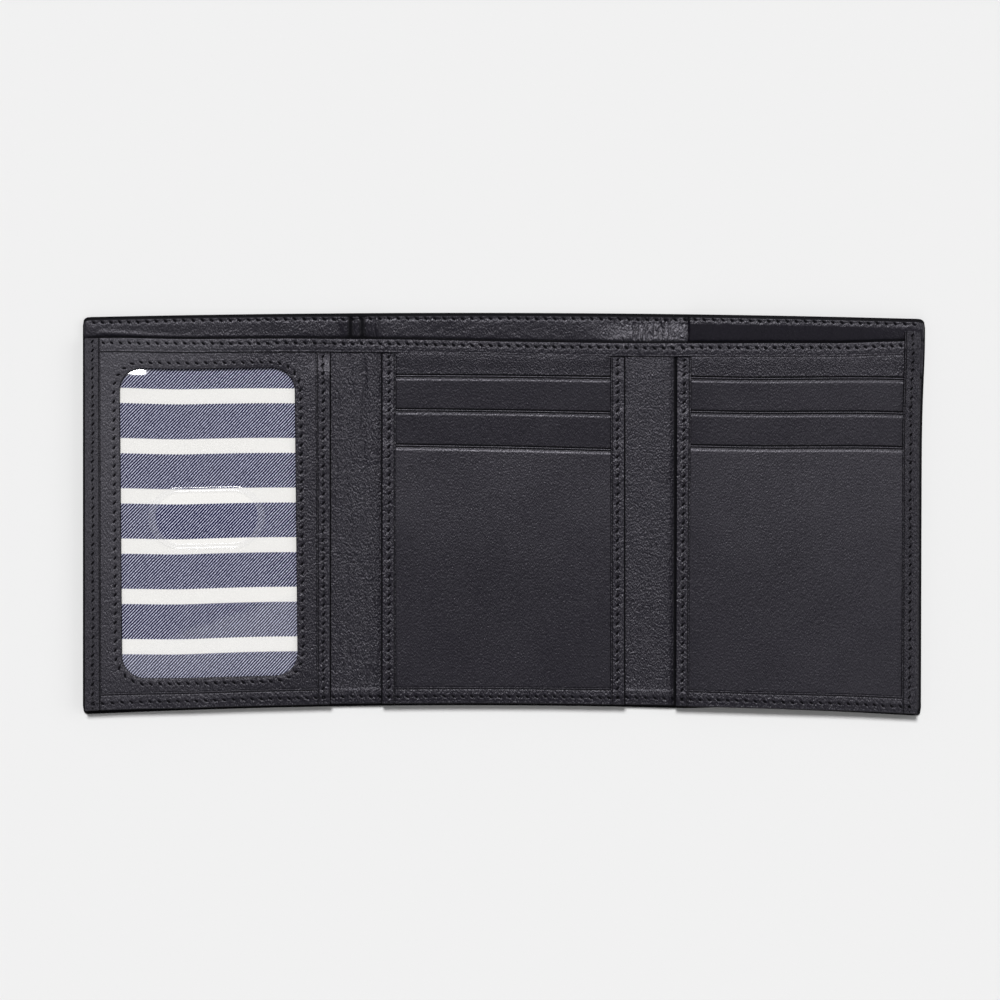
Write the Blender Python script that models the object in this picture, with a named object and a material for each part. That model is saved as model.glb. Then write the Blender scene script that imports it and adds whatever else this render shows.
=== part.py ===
"""Trifold wallet, lying open with its outer leather down on the z = 0 plane.

Frame: +X runs along the open width, +Y towards the open mouth of the bill compartment, +Z up out of
the lining side. The origin is under the middle of the wallet. Units are metres.

Five rigid sections stand in a row: left panel, left spine, centre panel, right spine, right panel.
Each fold is two parallel hinges, one on either side of a spine, so that a folded flap lies flat over
the section below it. Every section is a stack of thin layers: outer leather, lining of the bill
compartment, inner leather, and then card pockets or the clear identity window with their edge strips.
"""
import math

import bmesh
import bpy

# Outline of the open wallet
OPEN_WIDTH = 0.2285
HEIGHT = 0.1080
HALF_WIDTH = OPEN_WIDTH / 2
HALF_HEIGHT = HEIGHT / 2
CORNER_RADIUS = 0.0017
CORNER_STEPS = 5

# Panels and the two spines between them
CENTRE_EDGE = 0.0330
SPINE_WIDTH = 0.0140
OUTER_PANEL_EDGE = CENTRE_EDGE + SPINE_WIDTH
INNER_TOP = 0.0474
POCKET_TOP = 0.0433

# Fold axes, all parallel to Y. The left fold closes over the right one, so its axes are further apart.
HINGE_Z = 0.0016
RIGHT_SPINE_AXIS = 0.0378
RIGHT_PANEL_AXIS = 0.0445
LEFT_SPINE_AXIS = -0.0343
LEFT_PANEL_AXIS = -0.0459
OUTER_LAYER_SETBACK = 0.0001
LINING_SETBACK = 0.0003
INNER_LAYER_SETBACK = 0.0011

# Layers, as the height of the underside and the thickness
SHELL = (0.0, 0.0010)
FACING = (0.00110, 0.00035)
BILL_LINING = (0.00110, 0.00025)
INNER_LINING = (0.00155, 0.00020)
INNER_PANEL = (0.00185, 0.00070)
SLOT_BASE = 0.00265
SLOT_THICKNESS = 0.00040
SLOT_PITCH_Z = 0.00045
STRIP = (0.00400, 0.00045)
STRIP_SEAM_Z = 0.00450
ID_BACKING = (0.00185, 0.00025)
ID_FILM = (0.00292, 0.00020)
ID_FRAME = (0.00320, 0.00070)
LEFT_STRIP = (0.00395, 0.00040)
LEFT_STRIP_SEAM_Z = 0.00440
SEAM_THICKNESS = 0.00010
SEAM_WIDTH = 0.0005
SEAM_LIFT = 0.00005

# Sewn edges. The outer leather stands a little proud of the inner layers at the sides and bottom.
SHELL_PROUD = 0.0009
INNER_HALF_WIDTH = HALF_WIDTH - SHELL_PROUD
INNER_BOTTOM = -HALF_HEIGHT + SHELL_PROUD
FACING_BOTTOM = 0.0380
FACING_GAP = 0.0001
FACING_INSET = 0.0004
LINING_INSET = 0.0013
INNER_STRIP_WIDTH = 0.0038
OUTER_STRIP_WIDTH = 0.0043
BOTTOM_STRIP_TOP = -0.0485
STRIP_GAP = 0.0001
SHELL_SEAM_Y = 0.0525
HEM_SEAM_Y = 0.0460
BOTTOM_SEAM_Y = -0.0512
OUTER_SEAM_X = 0.1112

# Card pockets, each a T that hides its tail under the next one
SLOT_TOPS = (0.0373, 0.0281, 0.0186)
SLOT_SHOULDER = 0.0130
SLOT_TAIL_INSET = 0.0030
SLOT_TAIL_BOTTOM = -0.0475
SLOT_UNDER_STRIP = 0.0004
SLOT_FRONT_BOTTOM = -0.0510

# Identity window
WINDOW_CENTRE = (-0.0800, -0.0029)
WINDOW_SIZE = (0.0474, 0.0840)
WINDOW_RADIUS = 0.0070
WINDOW_SEAM_OUT = 0.0016
FILM_MARGIN = 0.0020
THUMB_SLOT_CENTRE = (-0.0805, -0.0014)
THUMB_SLOT_SIZE = (0.0277, 0.0140)
ROUND_STEPS = 8

EDGE_ROUNDING = 0.00012
SAME_POINT = 0.000005
BEVEL_ANGLE = math.radians(40)


def clear_scene():
    for found in list(bpy.data.objects):
        bpy.data.objects.remove(found, do_unlink=True)


# ---------------------------------------------------------------- materials


def principled(name, colour, roughness, alpha=1.0):
    material = bpy.data.materials.new(name)
    material.use_nodes = True
    shader = material.node_tree.nodes["Principled BSDF"]
    shader.inputs["Base Color"].default_value = (*colour, 1.0)
    shader.inputs["Roughness"].default_value = roughness
    shader.inputs["Metallic"].default_value = 0.0
    shader.inputs["Alpha"].default_value = alpha
    return material


def make_materials():
    return {
        "shell": principled("shell_leather", (0.024, 0.023, 0.026), 0.50),
        "inner": principled("inner_leather", (0.030, 0.029, 0.033), 0.48),
        "pocket": principled("pocket_leather", (0.028, 0.027, 0.031), 0.46),
        "lining": principled("lining_fabric", (0.012, 0.012, 0.014), 0.85),
        "stripe": principled("striped_twill", (0.13, 0.13, 0.20), 0.80),
        "film": principled("clear_film", (0.85, 0.87, 0.88), 0.12, alpha=0.25),
        "thread": principled("black_thread", (0.010, 0.010, 0.011), 0.65),
    }


# ---------------------------------------------------------------- outlines


def rectangle(left, right, bottom, top):
    return [(left, bottom), (right, bottom), (right, top), (left, top)]


def arc(centre, radius, start_degrees, steps):
    """Points of a quarter turn, counter-clockwise from the start angle."""
    points = []
    for step in range(steps + 1):
        angle = math.radians(start_degrees + 90 * step / steps)
        x = centre[0] + radius * math.cos(angle)
        y = centre[1] + radius * math.sin(angle)
        points.append((x, y))
    return points


def rounded_rectangle(left, right, bottom, top, radius, steps, square=""):
    """Counter-clockwise outline. square holds l or r where the corners on that side stay sharp."""
    corners = (
        ("l", left, bottom, 1, 1, 180),
        ("r", right, bottom, -1, 1, 270),
        ("r", right, top, -1, -1, 0),
        ("l", left, top, 1, -1, 90),
    )
    outline = []
    for side, x, y, towards_x, towards_y, start in corners:
        if side in square:
            outline.append((x, y))
        else:
            centre = (x + towards_x * radius, y + towards_y * radius)
            outline += arc(centre, radius, start, steps)
    return outline


def centred_opening(centre, size, radius, steps):
    half_x = size[0] / 2
    half_y = size[1] / 2
    return rounded_rectangle(
        centre[0] - half_x, centre[0] + half_x, centre[1] - half_y, centre[1] + half_y, radius, steps
    )


def pocket_outline(left, right, top):
    """A wide band at the top with a narrower tail below it, as deep as a card."""
    shoulder = top - SLOT_SHOULDER
    tail_left = left + SLOT_TAIL_INSET
    tail_right = right - SLOT_TAIL_INSET
    return [
        (tail_left, SLOT_TAIL_BOTTOM),
        (tail_right, SLOT_TAIL_BOTTOM),
        (tail_right, shoulder),
        (right, shoulder),
        (right, top),
        (left, top),
        (left, shoulder),
        (tail_left, shoulder),
    ]


def seam_u_outline(left, right, bottom, top):
    """A thin U that follows the stitching down one side, along the bottom and up the other side."""
    half = SEAM_WIDTH / 2
    return [
        (left - half, bottom - half),
        (right + half, bottom - half),
        (right + half, top),
        (right - half, top),
        (right - half, bottom + half),
        (left + half, bottom + half),
        (left + half, top),
        (left - half, top),
    ]


# ---------------------------------------------------------------- solids


def shared_points(mesh, outline, place, height):
    return [mesh.verts.new((x - place[0], y - place[1], height)) for x, y in outline]


def wall_between(mesh, lower, upper, outward):
    count = len(lower)
    for i in range(count):
        j = (i + 1) % count
        corners = (lower[i], lower[j], upper[j], upper[i])
        mesh.faces.new(corners if outward else corners[::-1])


def ring_face(mesh, outer, inner, upward):
    """Fills the flat space between an outline and a hole in it with triangles."""
    edges = []
    for loop in (outer, inner):
        for i, vertex in enumerate(loop):
            other = loop[(i + 1) % len(loop)]
            edges.append(mesh.edges.get((vertex, other)) or mesh.edges.new((vertex, other)))
    made = bmesh.ops.triangle_fill(mesh, edges=edges, use_beauty=True, normal=(0, 0, 1))
    faces = [item for item in made["geom"] if isinstance(item, bmesh.types.BMFace)]
    for face in faces:
        face.normal_update()
        if (face.normal.z > 0) != upward:
            face.normal_flip()


def layer_mesh(name, outline, height, thickness, place, opening=None):
    """A flat sheet of the given outline, from height up by thickness, about its own origin."""
    mesh = bmesh.new()
    base = height - place[2]
    lower = shared_points(mesh, outline, place, base)
    upper = shared_points(mesh, outline, place, base + thickness)
    wall_between(mesh, lower, upper, outward=True)
    if opening:
        lower_hole = shared_points(mesh, opening, place, base)
        upper_hole = shared_points(mesh, opening, place, base + thickness)
        wall_between(mesh, lower_hole, upper_hole, outward=False)
        ring_face(mesh, lower, lower_hole, upward=False)
        ring_face(mesh, upper, upper_hole, upward=True)
    else:
        mesh.faces.new(lower[::-1])
        mesh.faces.new(upper)
    data = bpy.data.meshes.new(name)
    mesh.to_mesh(data)
    mesh.free()
    return data


def add_layer(name, section, outline, layer, material, opening=None, rounded=False):
    """One sub-part: a sheet on its section, with its origin on the section's fold axis."""
    height, thickness = layer
    data = layer_mesh(name, outline, height, thickness, section.matrix_world.translation, opening)
    data.materials.append(material)
    data.shade_smooth()
    data.set_sharp_from_angle(angle=BEVEL_ANGLE)
    sheet = bpy.data.objects.new(name, data)
    bpy.context.scene.collection.objects.link(sheet)
    sheet.parent = section
    if rounded:
        edge = sheet.modifiers.new("soft_edge", "BEVEL")
        edge.width = EDGE_ROUNDING
        edge.segments = 2
        edge.limit_method = "ANGLE"
        edge.angle_limit = BEVEL_ANGLE
    return sheet


def add_axis(name, x, z, parent=None):
    """An empty on a fold axis. The sheets of the section that turns about it are its children."""
    pivot = bpy.data.objects.new(name, None)
    bpy.context.scene.collection.objects.link(pivot)
    pivot.parent = parent
    parent_x = parent.matrix_world.translation.x if parent else 0.0
    parent_z = parent.matrix_world.translation.z if parent else 0.0
    pivot.location = (x - parent_x, 0.0, z - parent_z)
    bpy.context.view_layer.update()
    return pivot


# ---------------------------------------------------------------- sub-parts


def add_outer_walls(prefix, section, left, right, square, materials):
    """Outer leather, the leather facing at the mouth of the bill compartment, and its two linings.

    square names the sides, l or r, that end at a fold; the others are the wallet's outer edges.
    """
    facing_left = left if "l" in square else left + FACING_INSET
    facing_right = right if "r" in square else right - FACING_INSET
    lining_left = left + (LINING_SETBACK if "l" in square else LINING_INSET)
    lining_right = right - (LINING_SETBACK if "r" in square else LINING_INSET)
    low = -HALF_HEIGHT + LINING_INSET
    outline = rounded_rectangle(
        left, right, -HALF_HEIGHT, HALF_HEIGHT, CORNER_RADIUS, CORNER_STEPS, square
    )
    facing = rounded_rectangle(
        facing_left, facing_right, FACING_BOTTOM, HALF_HEIGHT - FACING_INSET, CORNER_RADIUS,
        CORNER_STEPS, square
    )
    lining = rectangle(lining_left, lining_right, low, FACING_BOTTOM - FACING_GAP)
    inner = rectangle(lining_left, lining_right, low, INNER_TOP - FACING_INSET)
    add_layer(prefix + "_shell", section, outline, SHELL, materials["shell"], rounded=True)
    add_layer(prefix + "_facing", section, facing, FACING, materials["inner"])
    add_layer(prefix + "_bill_lining", section, lining, BILL_LINING, materials["lining"])
    add_layer(prefix + "_inner_lining", section, inner, INNER_LINING, materials["lining"])


def add_straight_seam(name, section, left, right, y, height, materials):
    half = SEAM_WIDTH / 2
    outline = rectangle(left, right, y - half, y + half)
    add_layer(name, section, outline, (height, SEAM_THICKNESS), materials["thread"])


def add_shell_seam(prefix, section, left, right, materials):
    height = FACING[0] + FACING[1] + SEAM_LIFT
    add_straight_seam(prefix + "_shell_seam", section, left, right, SHELL_SEAM_Y, height, materials)


def add_inner_panel(prefix, section, left, right, square, materials):
    """Inner leather and the seam of its hem. square is "lr", or "l" where the right side is outermost."""
    outline = rounded_rectangle(
        left, right, INNER_BOTTOM, INNER_TOP, CORNER_RADIUS, CORNER_STEPS, square
    )
    add_layer(prefix + "_inner_panel", section, outline, INNER_PANEL, materials["inner"], rounded=True)
    height = INNER_PANEL[0] + INNER_PANEL[1] + SEAM_LIFT
    seam_right = right if "r" in square else OUTER_SEAM_X
    add_straight_seam(
        prefix + "_hem_seam", section, left, seam_right, HEM_SEAM_Y, height, materials
    )


def add_card_pockets(prefix, section, left, right, materials):
    """Three overlapping pocket pieces between the strips at left and right, the lowest one in front."""
    names = ("upper", "middle", "lower")
    for order, (name, top) in enumerate(zip(names, SLOT_TOPS)):
        layer = (SLOT_BASE + order * SLOT_PITCH_Z, SLOT_THICKNESS)
        if name == "lower":
            outline = rectangle(left, right, SLOT_FRONT_BOTTOM, top)
        else:
            outline = pocket_outline(left, right, top)
        add_layer(f"{prefix}_slot_{name}", section, outline, layer, materials["pocket"], rounded=True)


def side_strip(edge, inward, width, top, seam_x, square="lr"):
    """A strip that starts at x = edge and runs inward, which is 1 or -1, from the bottom up to top."""
    other = edge + inward * width
    return {"low": min(edge, other), "high": max(edge, other), "top": top, "seam": seam_x, "square": square}


def fold_side_strip(edge, inward, top):
    """A side strip next to a fold, sewn down its middle."""
    return side_strip(edge, inward, INNER_STRIP_WIDTH, top, edge + inward * INNER_STRIP_WIDTH / 2)


def add_strips(prefix, section, left, right, layer, seam_height, materials):
    """Strips along both sides and the bottom of a panel, and the seam that holds them.

    left and right are (name, strip) pairs.
    """
    for name, strip in (left, right):
        outline = rounded_rectangle(
            strip["low"], strip["high"], INNER_BOTTOM, strip["top"], CORNER_RADIUS, CORNER_STEPS,
            strip["square"]
        )
        add_layer(f"{prefix}_strip_{name}", section, outline, layer, materials["inner"], rounded=True)
    start = left[1]
    end = right[1]
    bottom = rectangle(
        start["high"] + STRIP_GAP, end["low"] - STRIP_GAP, INNER_BOTTOM, BOTTOM_STRIP_TOP
    )
    add_layer(prefix + "_strip_bottom", section, bottom, layer, materials["inner"], rounded=True)
    seam_top = min(start["top"], end["top"]) - SEAM_WIDTH
    outline = seam_u_outline(start["seam"], end["seam"], BOTTOM_SEAM_Y, seam_top)
    add_layer(
        prefix + "_panel_seam", section, outline, (seam_height, SEAM_THICKNESS), materials["thread"]
    )


def add_centre(section, materials):
    left = LEFT_SPINE_AXIS + OUTER_LAYER_SETBACK
    right = RIGHT_SPINE_AXIS - OUTER_LAYER_SETBACK
    add_outer_walls("centre", section, left, right, "lr", materials)
    add_shell_seam("centre", section, left, right, materials)
    add_inner_panel(
        "centre",
        section,
        LEFT_SPINE_AXIS + INNER_LAYER_SETBACK,
        RIGHT_SPINE_AXIS - INNER_LAYER_SETBACK,
        "lr",
        materials,
    )
    reach = CENTRE_EDGE - SLOT_UNDER_STRIP
    add_card_pockets("centre", section, -reach, reach, materials)
    left_strip = ("left", fold_side_strip(-CENTRE_EDGE, 1, POCKET_TOP))
    right_strip = ("right", fold_side_strip(CENTRE_EDGE, -1, POCKET_TOP))
    add_strips("centre", section, left_strip, right_strip, STRIP, STRIP_SEAM_Z, materials)


def add_spine(prefix, section, left_axis, right_axis, materials):
    left = left_axis + OUTER_LAYER_SETBACK
    right = right_axis - OUTER_LAYER_SETBACK
    add_outer_walls(prefix, section, left, right, "lr", materials)
    add_shell_seam(prefix, section, left, right, materials)
    add_inner_panel(
        prefix, section, left_axis + INNER_LAYER_SETBACK, right_axis - INNER_LAYER_SETBACK, "lr", materials
    )


def add_right_panel(section, materials):
    left = RIGHT_PANEL_AXIS + OUTER_LAYER_SETBACK
    add_outer_walls("right", section, left, HALF_WIDTH, "l", materials)
    add_shell_seam("right", section, left, OUTER_SEAM_X, materials)
    add_inner_panel(
        "right", section, RIGHT_PANEL_AXIS + INNER_LAYER_SETBACK, INNER_HALF_WIDTH, "l", materials
    )
    add_card_pockets(
        "right",
        section,
        OUTER_PANEL_EDGE + SLOT_UNDER_STRIP,
        INNER_HALF_WIDTH - SLOT_UNDER_STRIP,
        materials,
    )
    inner = ("inner", fold_side_strip(OUTER_PANEL_EDGE, 1, POCKET_TOP))
    outer = (
        "outer",
        side_strip(INNER_HALF_WIDTH, -1, OUTER_STRIP_WIDTH, INNER_TOP, OUTER_SEAM_X, "l"),
    )
    add_strips("right", section, inner, outer, STRIP, STRIP_SEAM_Z, materials)


def add_identity_window(section, materials):
    """Striped backing, clear film with a thumb slot, and the leather frame sewn round the film."""
    inner_edge = -OUTER_PANEL_EDGE
    backing = rectangle(
        -HALF_WIDTH + LINING_INSET,
        inner_edge - FACING_INSET,
        -HALF_HEIGHT + LINING_INSET,
        INNER_TOP - FACING_INSET,
    )
    add_layer("id_backing", section, backing, ID_BACKING, materials["stripe"])

    film_size = [side + 2 * FILM_MARGIN for side in WINDOW_SIZE]
    film = centred_opening(WINDOW_CENTRE, film_size, WINDOW_RADIUS, CORNER_STEPS)
    thumb_slot = centred_opening(
        THUMB_SLOT_CENTRE, THUMB_SLOT_SIZE, THUMB_SLOT_SIZE[1] / 2, ROUND_STEPS
    )
    add_layer("id_film", section, film, ID_FILM, materials["film"], opening=without_repeats(thumb_slot))

    outline = rounded_rectangle(
        -INNER_HALF_WIDTH, inner_edge, INNER_BOTTOM, INNER_TOP, CORNER_RADIUS, CORNER_STEPS, "r"
    )
    window = centred_opening(WINDOW_CENTRE, WINDOW_SIZE, WINDOW_RADIUS, ROUND_STEPS)
    add_layer("id_window_frame", section, outline, ID_FRAME, materials["inner"], window, rounded=True)

    height = ID_FRAME[0] + ID_FRAME[1] + SEAM_LIFT
    loops = []
    for offset in (SEAM_WIDTH / 2, -SEAM_WIDTH / 2):
        reach = WINDOW_SEAM_OUT + offset
        size = [side + 2 * reach for side in WINDOW_SIZE]
        loops.append(centred_opening(WINDOW_CENTRE, size, WINDOW_RADIUS + reach, CORNER_STEPS))
    add_layer(
        "id_window_seam", section, loops[0], (height, SEAM_THICKNESS), materials["thread"], loops[1]
    )
    add_straight_seam(
        "left_hem_seam",
        section,
        -INNER_HALF_WIDTH + OUTER_STRIP_WIDTH + SEAM_WIDTH,
        inner_edge,
        HEM_SEAM_Y,
        height,
        materials,
    )


def without_repeats(outline):
    """Drops a point that lies on the one before it, as where two quarter turns meet."""
    kept = []
    for point in outline:
        if not kept or math.dist(point, kept[-1]) > SAME_POINT:
            kept.append(point)
    if math.dist(kept[0], kept[-1]) < SAME_POINT:
        kept.pop()
    return kept


def add_left_panel(section, materials):
    right = LEFT_PANEL_AXIS - OUTER_LAYER_SETBACK
    add_outer_walls("left", section, -HALF_WIDTH, right, "r", materials)
    add_shell_seam("left", section, -OUTER_SEAM_X, right, materials)
    add_identity_window(section, materials)
    outer = (
        "outer",
        side_strip(-INNER_HALF_WIDTH, 1, OUTER_STRIP_WIDTH, INNER_TOP, -OUTER_SEAM_X, "r"),
    )
    inner = ("inner", fold_side_strip(-OUTER_PANEL_EDGE, -1, POCKET_TOP))
    add_strips("left", section, outer, inner, LEFT_STRIP, LEFT_STRIP_SEAM_Z, materials)


def main():
    clear_scene()
    materials = make_materials()
    centre = add_axis("centre_section", 0.0, 0.0)
    left_spine = add_axis("left_spine_axis", LEFT_SPINE_AXIS, HINGE_Z, centre)
    left_panel = add_axis("left_panel_axis", LEFT_PANEL_AXIS, HINGE_Z, left_spine)
    right_spine = add_axis("right_spine_axis", RIGHT_SPINE_AXIS, HINGE_Z, centre)
    right_panel = add_axis("right_panel_axis", RIGHT_PANEL_AXIS, HINGE_Z, right_spine)
    add_centre(centre, materials)
    add_spine("left_spine", left_spine, LEFT_PANEL_AXIS, LEFT_SPINE_AXIS, materials)
    add_spine("right_spine", right_spine, RIGHT_SPINE_AXIS, RIGHT_PANEL_AXIS, materials)
    add_left_panel(left_panel, materials)
    add_right_panel(right_panel, materials)


main()
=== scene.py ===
"""Looks of the trifold wallet: leather, card pockets, identity window, linings and stitching.

Every length below is in millimetres. A piece is laid out flat on the frame's own boxes, gets its relief
from the height functions, and is bent a little in its plane by settle() before it becomes a mesh.
"""
import math

import bpy
import numpy as np
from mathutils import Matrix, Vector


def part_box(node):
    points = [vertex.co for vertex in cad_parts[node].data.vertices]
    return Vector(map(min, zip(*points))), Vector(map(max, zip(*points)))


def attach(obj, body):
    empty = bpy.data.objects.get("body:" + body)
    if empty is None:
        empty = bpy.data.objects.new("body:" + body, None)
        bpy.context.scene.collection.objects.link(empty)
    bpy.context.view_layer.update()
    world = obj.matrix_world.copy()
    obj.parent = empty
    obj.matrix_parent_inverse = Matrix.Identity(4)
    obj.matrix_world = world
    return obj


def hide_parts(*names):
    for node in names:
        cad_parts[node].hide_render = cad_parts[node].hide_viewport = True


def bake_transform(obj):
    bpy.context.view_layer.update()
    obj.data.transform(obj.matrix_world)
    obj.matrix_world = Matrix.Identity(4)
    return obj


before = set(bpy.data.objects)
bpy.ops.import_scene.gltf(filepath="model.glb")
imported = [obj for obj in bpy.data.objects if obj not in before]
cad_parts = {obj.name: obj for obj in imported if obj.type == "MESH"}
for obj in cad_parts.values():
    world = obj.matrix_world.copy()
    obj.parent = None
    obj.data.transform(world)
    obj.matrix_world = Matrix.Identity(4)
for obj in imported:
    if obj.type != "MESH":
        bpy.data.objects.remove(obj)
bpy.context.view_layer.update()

MM = 0.001


def box(node):
    """Lowest and highest corner of a CAD node, in millimetres."""
    low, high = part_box(node)
    return np.array(low) / MM, np.array(high) / MM


# ---- dimensions

HALF_WIDTH = box("right_shell")[1][0]
_, HALF_HEIGHT, SHELL_TOP = box("centre_shell")[1]
FACING_LOW, FACING_TOP = box("centre_facing")[0][2] - 0.05, box("centre_facing")[1][2]
PANEL_LOW = box("centre_inner_panel")[0][2]
_, PANEL_TOP_Y, PANEL_TOP = box("centre_inner_panel")[1]
INNER_LOW_Y = box("centre_strip_left")[0][1]
STRIP_TOP = box("centre_strip_left")[1][2]
LEFT_STRIP_TOP = box("left_strip_inner")[1][2]
FRAME_LOW, FRAME_TOP = box("id_window_frame")[0][2], box("id_window_frame")[1][2]
CORNER = 1.7
LAP = 0.02                # how far touching layers overlap or keep apart

# A layer that runs over both spines is four pieces, each crossing one hinge and cut between hinges.
CUTS = (-HALF_WIDTH, -38.0, 31.0, 41.2, HALF_WIDTH)
SECTIONS = (
    {"name": "left", "bodies": ("left_panel", "left_spine"), "zone": (-47.4, -43.4)},
    {"name": "centre", "bodies": ("left_spine", "centre_panel"), "zone": (-36.4, -32.4)},
    {"name": "right_spine", "bodies": ("centre_panel", "right_spine"), "zone": (35.7, 39.9)},
    {"name": "right", "bodies": ("right_spine", "right_panel"), "zone": (42.4, 46.6)},
)

CENTRE_EDGE_X = 33.1      # where the strips beside the spines end, on the centre and on the flaps
FLAP_EDGE_X = 47.1
CENTRE_SEAM_X = 31.1
FLAP_SEAM_X = 48.9
PITCH = 2.5
HEM_LOW_Y = 43.55
HEM_SEAM_Y = 46.0
TOP_SEAM_Y = 52.35
BOTTOM_SEAM_Y = -51.2
OUTER_SEAM_X = 111.2
THREAD_RADIUS = 0.12
HOLE_LONG = 0.56
HOLE_WIDE = 0.23
HOLE_DEPTH = 0.36
GROOVE_WIDE = 0.32
GROOVE_DEPTH = 0.020
PUCKER = 0.018
WOBBLE = 0.06
SLANT = math.radians(38)

SEAM_BOX = box("id_window_seam")
SEAM_FROM_WINDOW = 1.6
WINDOW_HALF = (SEAM_BOX[1] - SEAM_BOX[0])[:2] / 2 - SEAM_FROM_WINDOW - 0.25
WINDOW_CENTRE = (SEAM_BOX[1] + SEAM_BOX[0])[:2] / 2
WINDOW_RADIUS = 6.2
SLOT_HALF = np.array((13.85, 7.0))
SLOT_CENTRE = np.array((-80.5, -1.4))


# ---- small maths


def smooth(t):
    t = np.clip(t, 0.0, 1.0)
    return t * t * (3 - 2 * t)


def bell(distance, width):
    return np.exp(-((distance / width) ** 2))


def stretch_of(x, start, end, soft=2.0, soft_end=None):
    """1 between two places along x and 0 outside them, with soft ends."""
    return smooth((x - start) / soft) * smooth((end - x) / (soft_end or soft))


def ripple(x, y, seed, long_x, long_y, terms=7):
    """A smooth random surface of about unit height, whose waves are long_x by long_y."""
    random = np.random.default_rng(seed)
    total = np.zeros(np.broadcast(x, y).shape)
    for _ in range(terms):
        kx = 2 * np.pi / long_x * random.uniform(0.5, 1.5) * random.choice((-1, 1))
        ky = 2 * np.pi / long_y * random.uniform(0.5, 1.5)
        total = total + np.sin(kx * x + ky * y + random.uniform(0, 6.28))
    return total / math.sqrt(terms)


def samples(low, high, coarse, fine=None, near=(), reach=1.0, ends=True):
    """Places from low to high, closer together within reach of the near ones and at both ends."""
    places = [low]
    while places[-1] < high:
        close = any(abs(places[-1] - spot) < reach for spot in near)
        places.append(places[-1] + (fine if close else coarse))
    places = low + (np.array(places) - low) * (high - low) / (places[-1] - low)
    if ends:
        steps = np.array((0.03, 0.08, 0.15, 0.24, 0.36, 0.5))
        extra = np.concatenate((low + steps, high - steps))
        inner = places[1:-1]
        inner = inner[(inner > low + 0.55) & (inner < high - 0.55)]
        places = np.sort(np.concatenate(((low, high), inner, extra)))
    return places


def settle(x, y):
    """How the flexible wallet lies: slightly bowed along its width, with both flaps turned a little."""
    across = (x + 10) / 105
    left_turn = math.tan(math.radians(0.6)) * smooth((-47 - x) / 10) * (1 - smooth((-100 - x) / 14))
    right_turn = math.tan(math.radians(0.45)) * smooth((x - 44) / 6) * (1 - 0.6 * smooth((x - 60) / 45))
    lean = -left_turn * y + right_turn * y
    corner = 0.8 * smooth((x - 95) / 20) * bell(y - 50, 17) - smooth((x - 92) / 17)
    return x + lean + corner, y * (0.9875 + 0.012 * across**2) + 1.35 - 1.85 * across**2


# The layers that end at the outer edge. Everything else is part of the inner panels and sags with them.
OUTER_PIECES = ("_outer_leather", "_facing_leather", "_compartment_lining", "_top_thread", "_outside_thread")


def hem_in(x, y):
    """How far the outer layers are drawn in along the bottom edge, more on the right flap."""
    return (0.2 + 0.6 * smooth((x - 48) / 14)) * smooth((-38 - y) / 14)


def sag(x, y):
    """How the inner panels hang away from the outer leather: low at the hem's middle, high at its ends."""
    hem = -1.5 * bell(x - 28, 64) + 0.75 * smooth((-80 - x) / 30) + 0.75 * smooth((x - 88) / 24)
    body = 1.05 * smooth((x - 62) / 46) + 0.8 * smooth((-84 - x) / 24)
    body = body * (1 - 0.6 * smooth((-40 - y) / 12))
    share = smooth((y - 38) / 6)
    return x - 0.45 * smooth(x / 30), y + body * (1 - share) + hem * share


def chance(number, seed):
    """A repeatable value from 0 to 1 for a whole number."""
    value = np.sin(number * 12.9898 + seed * 78.233) * 43758.5453
    return value - np.floor(value)


# ---- seams


class Seam:
    """A straight row of stitches along x or y, from start to end, at a fixed place on the other axis."""

    def __init__(self, along, start, end, place, lean=1):
        self.along, self.start, self.place, self.lean = along, start, place, lean
        self.count = int(round((end - start) / PITCH))
        self.pitch = (end - start) / self.count

    def split(self, x, y):
        """Places along and across the row from x and y, or the other way round."""
        return (x, y) if self.along == "x" else (y, x)

    def middle_line(self, s):
        return self.place + WOBBLE * np.sin(s * 0.23 + self.place)

    def relief(self, x, y):
        s, d = self.split(x, y)
        inside = stretch_of(s, self.start - 0.8, self.start + self.count * self.pitch + 0.8, 0.8)
        return inside * stitch_relief(s - self.start, d - self.middle_line(s), self.pitch, self.lean)

    def middles(self, x, y):
        s, d = self.split(x, y)
        hollow = stitch_hollow(s - self.start, d - self.place, self.pitch)
        return (0.8 if self.along == "y" else 0.3) * hollow

    def stitches(self, low=-1e3, high=1e3):
        """Middle, direction, number and pitch of each stitch that lies between two places along x."""
        for number in range(self.count):
            s = self.start + (number + 0.5) * self.pitch
            x, y = self.split(s, float(self.middle_line(s)))
            if low <= x < high:
                yield (x, y), self.split(1.0, 0.0), number, self.pitch


def stitch_relief(s, d, pitch, lean=1):
    """Groove, slanted needle holes and puckered leather of a seam, s along it and d across it."""
    phase = s / pitch
    number = np.round(phase)
    u = (phase - number) * pitch
    turn = SLANT * lean * (0.85 + 0.3 * chance(number, 3.0))
    v = d - 0.12 * (chance(number, 5.0) - 0.5)
    a = u * np.cos(turn) + v * np.sin(turn)
    b = -u * np.sin(turn) + v * np.cos(turn)
    hole = np.exp(-((a / HOLE_LONG) ** 2) - (b / HOLE_WIDE) ** 2)
    groove = bell(d, GROOVE_WIDE)
    between = 0.5 - 0.5 * np.cos(2 * np.pi * phase)
    pucker = between * bell(np.abs(d) - 0.62, 0.36) * (0.4 + 1.2 * chance(np.floor(phase), 9.0))
    return PUCKER * pucker - GROOVE_DEPTH * groove - HOLE_DEPTH * hole


def stitch_hollow(s, d, pitch):
    """1 under the middle of each stitch, where the thread shades the leather."""
    phase = s / pitch
    return bell((phase - np.floor(phase) - 0.5) * pitch, 0.32) * bell(d, 0.2)


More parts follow.
